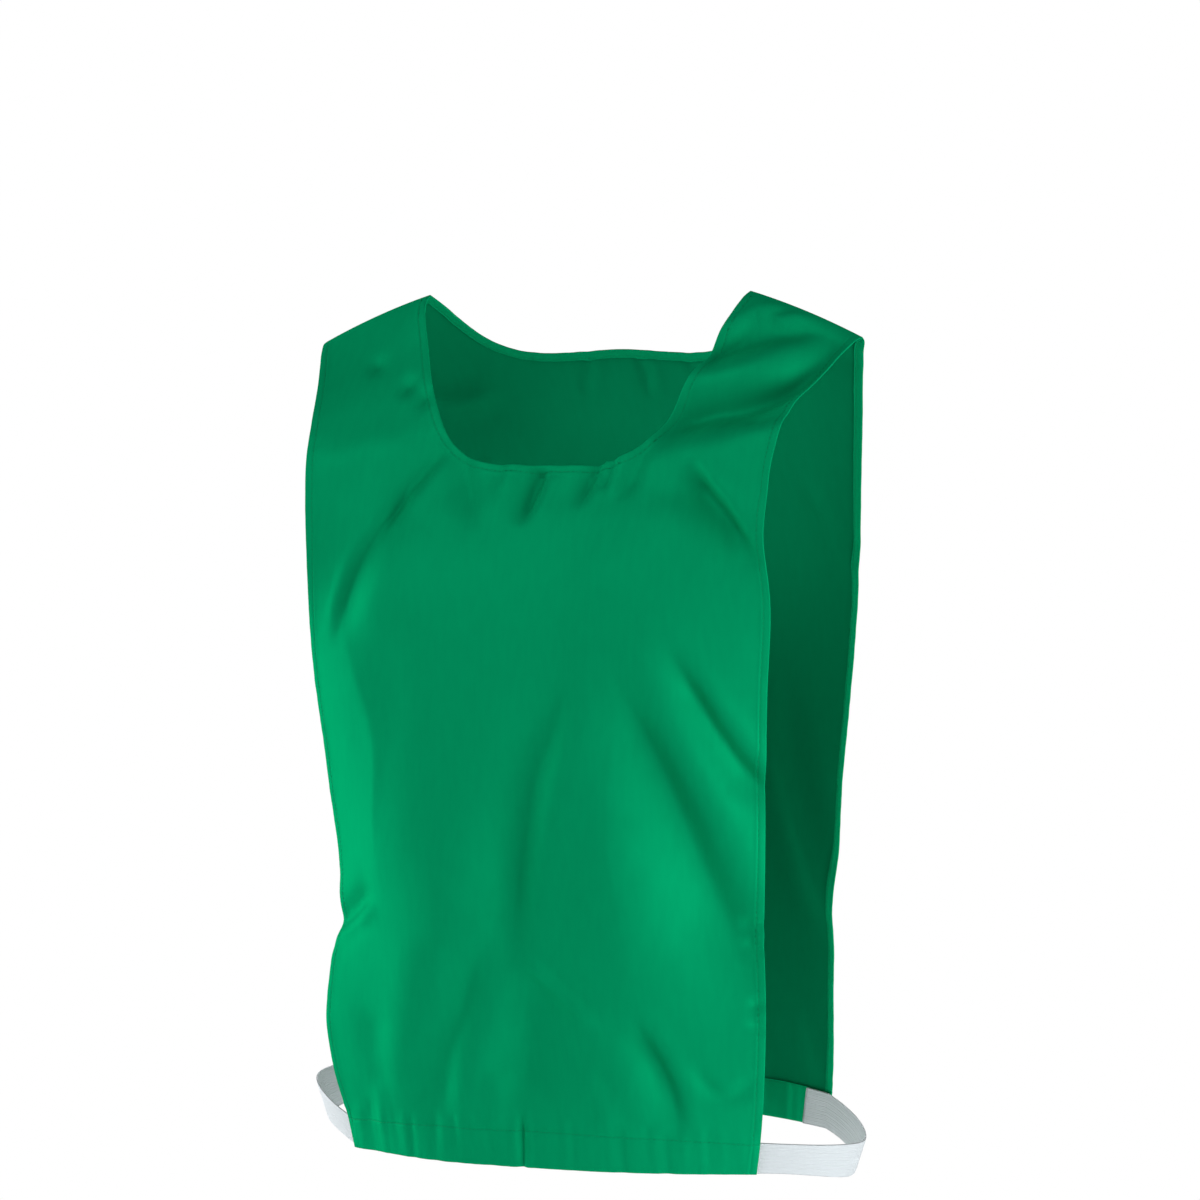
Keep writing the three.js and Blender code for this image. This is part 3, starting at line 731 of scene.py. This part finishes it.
class Nodes:
    """Short calls for building the nodes of a material or a world."""

    def __init__(self, owner):
        owner.use_nodes = True
        self.owner = owner
        self.tree = owner.node_tree

    def fill(self, target, value):
        """Give an input its value, or link it to an output."""
        if isinstance(value, bpy.types.NodeSocket):
            self.tree.links.new(value, target)
        else:
            target.default_value = value

    def set(self, node, **values):
        """Fill a node's inputs and settings by name, with an underscore for each space."""
        for name, value in values.items():
            label = name.replace("_", " ")
            if label in node.inputs:
                self.fill(node.inputs[label], value)
            else:
                setattr(node, name, value)

    def add(self, kind, *in_order, **values):
        """A new node, its first inputs filled in order and the others by name."""
        node = self.tree.nodes.new(kind)
        self.set(node, **values)
        for target, value in zip(node.inputs, in_order):
            self.fill(target, value)
        return node

    def shade(self, **values):
        self.set(self.tree.nodes["Principled BSDF"], **values)

    def cut_place(self, scale):
        """Places on the flat cloth, in metres, stretched by scale."""
        cut = self.add("ShaderNodeUVMap", uv_map="cut")
        return self.add("ShaderNodeMapping", Vector=cut.outputs["UV"], Scale=scale).outputs["Vector"]

    def waves(self, direction, place):
        wave = self.add("ShaderNodeTexWave", Scale=1.0, bands_direction=direction, Vector=place)
        return wave.outputs["Fac"]

    def mixed(self, how, factor, first, second):
        """Two colours, mixed or multiplied."""
        mix = self.add("ShaderNodeMix", data_type="RGBA", blend_type=how, Factor=factor, A=first, B=second)
        return mix.outputs["Result"]


def satin(name, colour, roughness, metallic):
    """Satin-faced nylon: a fine weave, faint slubs and a soft coloured gloss."""
    nodes = Nodes(bpy.data.materials.new(name))
    place = nodes.cut_place(SLUBS)
    slubs = nodes.add("ShaderNodeTexNoise", Scale=1.0, Detail=3.0, Vector=place).outputs["Fac"]
    tone = nodes.add("ShaderNodeMapRange", Value=slubs, From_Min=0.3, From_Max=0.7)
    nodes.set(tone, To_Min=0.975, To_Max=1.025)
    dyed = nodes.mixed("MULTIPLY", 1.0, (*colour, 1), tone.outputs["Result"])
    yarn = nodes.cut_place(YARNS)
    weave = nodes.add("ShaderNodeMath", nodes.waves("X", yarn), nodes.waves("Y", yarn), operation="MULTIPLY")
    fine = nodes.add("ShaderNodeBump", Strength=0.25, Distance=0.00005, Height=weave.outputs["Value"])
    soft = nodes.add(
        "ShaderNodeBump", Strength=0.3, Distance=0.00006, Height=slubs, Normal=fine.outputs["Normal"]
    )
    nodes.shade(Base_Color=dyed, Roughness=roughness, Metallic=metallic, Normal=soft.outputs["Normal"])
    nodes.shade(Specular_IOR_Level=0.0, Specular_Tint=(0.0, 0.8, 0.5, 1))
    return nodes.owner


def knitted_elastic(name, colour):
    """White knitted elastic: lengthwise ribs crossed by fine stitches, with painted shade in the grooves
    between them.
    """
    nodes = Nodes(bpy.data.materials.new(name))
    ribs = nodes.waves("Y", nodes.cut_place(ELASTIC_RIBS))
    courses = nodes.waves("X", nodes.cut_place(ELASTIC_COURSES))
    knit = nodes.add("ShaderNodeMath", courses, KNIT_DEPTH, ribs, operation="MULTIPLY_ADD").outputs["Value"]
    # painted shade: the white is darkened by up to a tenth where the knit's bump lies low, in the grooves
    # between ribs and courses
    shade = nodes.add("ShaderNodeMapRange", Value=knit, From_Max=1 + KNIT_DEPTH, To_Min=0.9, To_Max=1.0)
    groove_shaded_colour = nodes.mixed("MULTIPLY", 1.0, (*colour, 1), shade.outputs["Result"])
    bump = nodes.add("ShaderNodeBump", Strength=0.6, Distance=0.0002, Height=knit)
    nodes.shade(Base_Color=groove_shaded_colour, Roughness=0.75, Sheen_Weight=0.2, Normal=bump.outputs["Normal"])
    return nodes.owner


def sewing_thread(name, colour):
    """Spun polyester thread, with its twist."""
    nodes = Nodes(bpy.data.materials.new(name))
    place = nodes.add("ShaderNodeTexCoord").outputs["Object"]
    twist = nodes.add("ShaderNodeTexNoise", Scale=2400.0, Vector=place).outputs["Fac"]
    dark = (*[THREAD_SHADE * c for c in colour], 1)
    nodes.shade(Base_Color=nodes.mixed("MIX", twist, dark, (*colour, 1)))
    nodes.shade(Roughness=0.8, Specular_IOR_Level=0.1)
    return nodes.owner


def make_once(name, maker, *values):
    """A material by name, made the first time that a piece asks for it."""
    return bpy.data.materials.get(name) or maker(name, *values)


def build_panel(panel, context):
    settings = context.scene.training_bib.cloth
    places = lay_out(panel)
    middle = cloth_middle(panel, places, settings)
    normals = grid_normals(middle, panel.facing)
    half = section_at(panel, places.along)["half"]
    cut = np.stack([places.across * half, -places.along], axis=-1)
    materials = (
        make_once("satin_face", satin, settings.colour, settings.roughness, settings.gloss),
        # the back material is a darker copy of the satin: its colour holds painted shade for the inside of
        # the cloth
        make_once("satin_back", satin, settings.inside_shaded_colour, settings.inside_roughness, 0.0),
    )
    piece = wall_piece(panel.name, middle, normals, settings.thickness / MM, cut, panel.facing, materials)
    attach(piece, "root")
    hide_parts(*panel.nodes)
    return piece


def beneath(panel, across, along, depth):
    """Places inside a panel, a little way beneath its own surface."""
    return folded_points(panel, across, along) - depth * outward(panel, folded_points, across, along)


def hip_place(across, out, down):
    return np.array([across, -out, ORIGIN_DOWN - down], float)


def strap_middle(strap, rows):
    """The middle of a strap as a grid: sewn inside both hems, and free between them round the hip."""
    share = np.linspace(0, 1, rows)[:, None]
    upper, lower = hip_place(*strap.upper), hip_place(*strap.lower)
    hip = upper + (lower - upper) * share
    t = np.linspace(0, 1, STRAP_CURVE["steps"] + 1)[None, :, None]
    halves = []
    for panel, lift in zip((FRONT, BACK), strap.lifts):
        along = panel.length - STRAP_WIDTH * (1 - share)
        inward = np.linspace(STRAP_LAP["length"], 0, STRAP_LAP["steps"] + 1)
        lap = beneath(panel, strap.side * across_at(panel, inward, along), along, STRAP_INSET)
        edge_share = np.full(along.shape, strap.side * (1 - STRAP_CURVE["edge_share"]))
        inner = beneath(panel, edge_share, along, STRAP_INSET)[:, 0]
        edge = lap[:, -1]
        onward = edge + unit(edge - inner) * STRAP_CURVE["hem"] + np.array([0, 0, lift])
        level = np.array([0, 1, strap.climb])
        into_hip = hip + level * (edge[:, 1:2] - hip[:, 1:2]) * STRAP_CURVE["hip"]
        a, b, c, d = (corner[:, None] for corner in (edge, onward, into_hip, hip))
        free = a * (1 - t) ** 3 + 3 * b * t * (1 - t) ** 2 + 3 * c * t**2 * (1 - t) + d * t**3
        halves.append(np.concatenate([lap[:, :-1], free], axis=1))
    return np.concatenate([halves[0], halves[1][:, -2::-1]], axis=1)


def build_strap(strap, context):
    settings = context.scene.training_bib.elastic
    rows = RIBS["count"] * RIBS["rows"] + 1
    middle = strap_middle(strap, rows)
    facing = -strap.side
    normals = grid_normals(middle, facing)
    run = running_sum(np.linalg.norm(np.diff(middle[rows // 2], axis=0), axis=1))
    share = np.linspace(0, 1, rows)
    flutter = wander(run, STRAP_WAVES, strap.side * STRAP_WAVE_SEED)
    loose = smoothstep(0, STRAP_WAVE_FADING, run) * smoothstep(0, STRAP_WAVE_FADING, run[-1] - run)
    middle = middle + normals * (flutter * loose)[None, :, None]
    rib = np.abs(np.sin(np.pi * RIBS["count"] * share))
    outermost = (share < 1 / RIBS["count"]) | (share > 1 - 1 / RIBS["count"])
    thickness = settings.thickness / MM - RIBS["height"] + RIBS["height"] * rib
    thickness = thickness * np.where(outermost, RIBS["selvedge"], 1)
    cut = np.stack(np.broadcast_arrays(run[None, :], STRAP_WIDTH * share[:, None]), axis=-1)
    elastic = make_once("knitted_elastic", knitted_elastic, settings.colour)
    piece = wall_piece(strap.name, middle, normals, thickness[:, None], cut, facing, (elastic, elastic))
    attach(piece, "root")
    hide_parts(strap.node)
    return piece


def stitch_places(start, end, settings):
    """Places at the beginning, middle and end of each stitch on a line, as runs along it."""
    length, gap = settings.stitch / MM, settings.stitch_gap / MM
    first = np.arange(start, end - length, length + gap)
    return first[:, None] + length * np.array([0, 0.5, 1])


def hem_lines(panel, settings, inside):
    """Where the stitching of a panel's hems runs: on its outer face, or on the turned cloth inside."""
    turn = -1 if inside else 1

    along = stitch_places(STITCH_ENDS["shoulder"], panel.length - STITCH_ENDS["foot"], settings)
    across = across_at(panel, inset(EDGE_HEM, EDGE_HEM["stitches"]), along)
    side_hems = [Layout(hand * across, along, side=turn * EDGE_HEM["stitches"]) for hand in (-1, 1)]

    neck = slice(INNER_COLUMNS["neck"] + 1)
    across, along, run = (row[neck] for row in top_row(panel, inset(TOP_HEM, TOP_HEM["stitches"])))
    run = mirrored(run, -1)
    at = stitch_places(run[0], run[-1], settings)
    across = np.interp(at, run, mirrored(across, -1))
    along = np.interp(at, run, mirrored(along))
    neck_hem = Layout(across, along, top=turn * TOP_HEM["stitches"], top_run=at)

    along = panel.length - inset(CASING, CASING["stitches"])
    width = edge_run(panel, along)
    across = stitch_places(-width + STITCH_ENDS["side"], width - STITCH_ENDS["side"], settings) / width
    casing = Layout(across, np.full(across.shape, along), foot=turn * CASING["stitches"])
    return [*side_hems, neck_hem, casing]


def tube_faces(rings, sides):
    """The faces of a closed tube of rings."""
    turns = [(i, (i + 1) % sides) for i in range(sides)]
    starts = range(0, (rings - 1) * sides, sides)
    faces = [(k + i, k + j, k + sides + j, k + sides + i) for k in starts for i, j in turns]
    total = rings * sides
    return [*faces, tuple(range(sides))[::-1], tuple(range(total - sides, total))]


def thread_piece(name, points, normals, radius):
    """Stitches in one piece: each a short thread that dips into the cloth at both of its ends."""
    start, crown, end = (points[:, k] for k in range(3))
    lift = normals[:, 1]
    sideways = np.cross(unit(end - start), lift)
    rings = []
    for t, girth in THREAD_RINGS:
        arch = 4 * t * (1 - t)
        centre = start * (1 - t) + end * t + arch * (crown - (start + end) / 2)
        centre = centre + lift * radius * (STITCH_RISE["crown"] * arch + STITCH_RISE["ends"])
        for angle in np.linspace(0, 2 * math.pi, THREAD_SIDES, endpoint=False):
            rings.append(centre + radius * girth * (math.cos(angle) * sideways + math.sin(angle) * lift))
    corners = np.stack(rings, axis=1)
    stitches, per_stitch = corners.shape[:2]
    tube = tube_faces(len(THREAD_RINGS), THREAD_SIDES)
    bases = range(0, stitches * per_stitch, per_stitch)
    faces = [tuple(base + v for v in face) for base in bases for face in tube]
    return add_object(name, smooth_mesh(name, corners.reshape(-1, 3), faces))


def build_stitches(panel, context):
    settings = context.scene.training_bib
    thread, cloth = settings.thread, settings.cloth
    points, normals = [], []
    for inside in (False, True):
        out = -1 if inside else 1
        for places in hem_lines(panel, thread, inside):
            directions = out * outward(panel, folded_points, places.across, places.along)
            middle = cloth_middle(panel, places, cloth)
            points.append(middle + directions * cloth.thickness / MM / 2)
            normals.append(directions)
    name = panel.name.replace("cloth", "stitches")
    piece = thread_piece(name, np.vstack(points), np.vstack(normals), thread.thickness / MM / 2)
    piece.data.materials.append(make_once("sewing_thread", sewing_thread, thread.colour))
    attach(piece, "root")
    return piece


def colour_property(name, description, default):
    return bpy.props.FloatVectorProperty(
        name=name, description=description, subtype="COLOR", min=0, max=1, default=default
    )


def number_property(name, description, default, **options):
    return bpy.props.FloatProperty(name=name, description=description, default=default, **options)


def length_property(name, description, millimetres):
    return number_property(name, description, millimetres * MM, min=0, unit="LENGTH", precision=5)


def share_property(name, description, default):
    return number_property(name, description, default, min=0, max=1, subtype="FACTOR")


class SatinClothSettings(bpy.types.PropertyGroup):
    """The cloth of the two panels."""

    colour: colour_property("Colour", "Dye of the satin face", (0.0006, 0.30, 0.118))
    # painted shade: the inside colour is the face's own dye painted darker, standing in for the shade on the
    # inside of the cloth; its dullness comes from the higher roughness
    inside_shaded_colour: colour_property("Inside colour", "Duller inside of the cloth", (0.0006, 0.2, 0.08))
    roughness: share_property("Roughness", "Of the satin face", 0.5)
    inside_roughness: share_property("Inside roughness", "Of the inside of the cloth", 0.65)
    gloss: share_property("Gloss", "Share of the light that the satin face reflects in its own colour", 0.16)
    thickness: length_property("Thickness", "Of one layer of cloth", 0.25)
    edge_pucker: length_property("Side puckers", "Height of the puckers along the side hems", 0.35)
    neck_pucker: length_property("Neck puckers", "Height of the puckers along the neckline", 0.5)
    casing_pucker: length_property("Hem puckers", "Height of the puckers along the bottom hem", 0.95)
    ripple: number_property("Ripples", "How uneven the cloth itself is", 1.0, min=0, max=3)


class ElasticSettings(bpy.types.PropertyGroup):
    """The elastic of the side straps."""

    colour: colour_property("Colour", "Of the knitted elastic", (0.65, 0.71, 0.74))
    thickness: length_property("Thickness", "Of the elastic at its ribs", 1.3)
    stretch: number_property("Stretch", "Worn length as a share of the slack length", 1.1, min=1, max=2)


class ThreadSettings(bpy.types.PropertyGroup):
    """The sewing thread and its stitches."""

    colour: colour_property("Colour", "Of the thread", (0.0008, 0.28, 0.11))
    thickness: length_property("Thickness", "Of the thread", 0.3)
    stitch: length_property("Stitch", "Length of a stitch", 2.5)
    stitch_gap: length_property("Gap", "Between two stitches", 0.5)


class StageSettings(bpy.types.PropertyGroup):
    """Camera, lights and floor."""

    camera_azimuth: number_property(
        "Camera azimuth", "Round the bib, from its front", math.radians(26), subtype="ANGLE"
    )
    camera_distance: length_property("Camera distance", "From the bib's middle", 3200)
    floor_level: number_property("Floor level", "Height of the floor, at foot level", -1.4, unit="LENGTH")
    floor_radius: length_property("Floor radius", "Where the floor has faded away", 5000)


class TrainingBibSettings(bpy.types.PropertyGroup):
    """All of the bib's settings."""

    cloth: bpy.props.PointerProperty(type=SatinClothSettings)
    elastic: bpy.props.PointerProperty(type=ElasticSettings)
    thread: bpy.props.PointerProperty(type=ThreadSettings)
    stage: bpy.props.PointerProperty(type=StageSettings)


class BIB_OT_cloth(bpy.types.Operator):
    """Make the front and back panels with their folds and turned hems"""

    bl_idname = "training_bib.cloth"
    bl_label = "Cloth Panels"

    def execute(self, context):
        for panel in (FRONT, BACK):
            build_panel(panel, context)
        return {"FINISHED"}


class BIB_OT_elastic(bpy.types.Operator):
    """Make the elastic strap at each side"""

    bl_idname = "training_bib.elastic"
    bl_label = "Elastic Straps"

    def execute(self, context):
        for strap in (LEFT_STRAP, RIGHT_STRAP):
            build_strap(strap, context)
        return {"FINISHED"}


class BIB_OT_stitches(bpy.types.Operator):
    """Make the stitching along all hems"""

    bl_idname = "training_bib.stitches"
    bl_label = "Stitching"

    def execute(self, context):
        for panel in (FRONT, BACK):
            build_stitches(panel, context)
        return {"FINISHED"}


def add_light(name, azimuth, elevation, distance, size, power):
    """A soft rectangular light, placed round the middle of the bib."""
    data = bpy.data.lights.new(name, "AREA")
    data.shape = "RECTANGLE"
    data.size, data.size_y = size
    data.energy = power
    light = add_object(name, data)
    a, e = math.radians(azimuth), math.radians(elevation)
    back = Vector((math.sin(a) * math.cos(e), -math.cos(a) * math.cos(e), math.sin(e)))
    light.location = BIB_MIDDLE + back * distance
    light.rotation_euler = (-back).to_track_quat("-Z", "Y").to_euler()


def add_floor(settings):
    """A pale round floor that fades out towards its edge."""
    radius = settings.floor_radius
    nodes = Nodes(bpy.data.materials.new("pale_floor"))
    place = nodes.add("ShaderNodeTexCoord").outputs["Object"]
    away = nodes.add("ShaderNodeVectorMath", place, operation="LENGTH").outputs["Value"]
    fade = nodes.add("ShaderNodeMapRange", interpolation_type="SMOOTHSTEP", Value=away, To_Min=1, To_Max=0)
    nodes.set(fade, From_Min=radius * FLOOR["solid_share"], From_Max=radius)
    nodes.shade(Base_Color=(0.9, 0.9, 0.9, 1), Roughness=0.9, Alpha=fade.outputs["Result"])
    angles = np.linspace(0, 2 * math.pi, FLOOR["sides"], endpoint=False)
    edge = [(radius * math.cos(a), radius * math.sin(a), 0) for a in angles]
    mesh = bpy.data.meshes.new("floor")
    mesh.from_pydata(edge, [], [tuple(range(len(edge)))])
    mesh.materials.append(nodes.owner)
    floor = add_object("floor", mesh)
    floor.location.z = settings.floor_level


def make_world():
    """An even, dim light all round, and a white backdrop where the camera sees past the bib."""
    nodes = Nodes(bpy.data.worlds.new("studio"))
    ambient = nodes.tree.nodes["Background"]
    nodes.set(ambient, Color=WHITE, Strength=AMBIENT)
    white = nodes.add("ShaderNodeBackground", Color=WHITE)
    seen = nodes.add("ShaderNodeLightPath").outputs["Is Camera Ray"]
    mix = nodes.add("ShaderNodeMixShader", seen, ambient.outputs["Background"], white.outputs["Background"])
    nodes.set(nodes.tree.nodes["World Output"], Surface=mix.outputs["Shader"])
    return nodes.owner


def add_camera(settings):
    """A long lens in front of the bib and to its left, a little above its middle."""
    azimuth, distance = settings.camera_azimuth, settings.camera_distance
    back = Vector((math.sin(azimuth), -math.cos(azimuth), 0))
    aside = Vector((math.cos(azimuth), math.sin(azimuth), 0)) * CAMERA["aside"]
    aim = aside + Vector((0, 0, CAMERA["aim_height"]))
    eye = aside + back * distance + Vector((0, 0, CAMERA["eye_height"]))
    data = bpy.data.cameras.new("camera")
    data.sensor_width = CAMERA["sensor"]
    data.lens = CAMERA["sensor"] * distance / CAMERA["view_width"]
    camera = add_object("camera", data)
    camera.location = eye
    camera.rotation_euler = (aim - eye).to_track_quat("-Z", "Y").to_euler()
    return camera


class BIB_OT_stage(bpy.types.Operator):
    """Make the floor, the lights and the camera"""

    bl_idname = "training_bib.stage"
    bl_label = "Stage"

    def execute(self, context):
        settings = context.scene.training_bib.stage
        for softbox in SOFTBOXES:
            add_light(*softbox)
        add_floor(settings)
        context.scene.world = make_world()
        context.scene.view_settings.view_transform = "Standard"
        context.scene.camera = add_camera(settings)
        return {"FINISHED"}


class BIB_PT_panel(bpy.types.Panel):
    """Lists the bib's pieces and their settings"""

    bl_idname = "BIB_PT_panel"
    bl_label = "Training Bib"
    bl_space_type = "VIEW_3D"
    bl_region_type = "UI"
    bl_category = "Training Bib"

    def draw(self, context):
        settings = context.scene.training_bib
        for operator, group in (
            (BIB_OT_stage, settings.stage),
            (BIB_OT_cloth, settings.cloth),
            (BIB_OT_elastic, settings.elastic),
            (BIB_OT_stitches, settings.thread),
        ):
            box = self.layout.box()
            box.operator(operator.bl_idname)
            for name in group.bl_rna.properties.keys():
                if name not in ("rna_type", "name"):
                    box.prop(group, name)


CLASSES = (
    SatinClothSettings,
    ElasticSettings,
    ThreadSettings,
    StageSettings,
    TrainingBibSettings,
    BIB_OT_stage,
    BIB_OT_cloth,
    BIB_OT_elastic,
    BIB_OT_stitches,
    BIB_PT_panel,
)


def register():
    for cls in CLASSES:
        bpy.utils.register_class(cls)
    bpy.types.Scene.training_bib = bpy.props.PointerProperty(type=TrainingBibSettings)


def unregister():
    del bpy.types.Scene.training_bib
    for cls in reversed(CLASSES):
        bpy.utils.unregister_class(cls)


def main():
    register()
    bpy.ops.training_bib.stage()
    bpy.ops.training_bib.cloth()
    bpy.ops.training_bib.elastic()
    bpy.ops.training_bib.stitches()


if __name__ == "__main__":
    main()
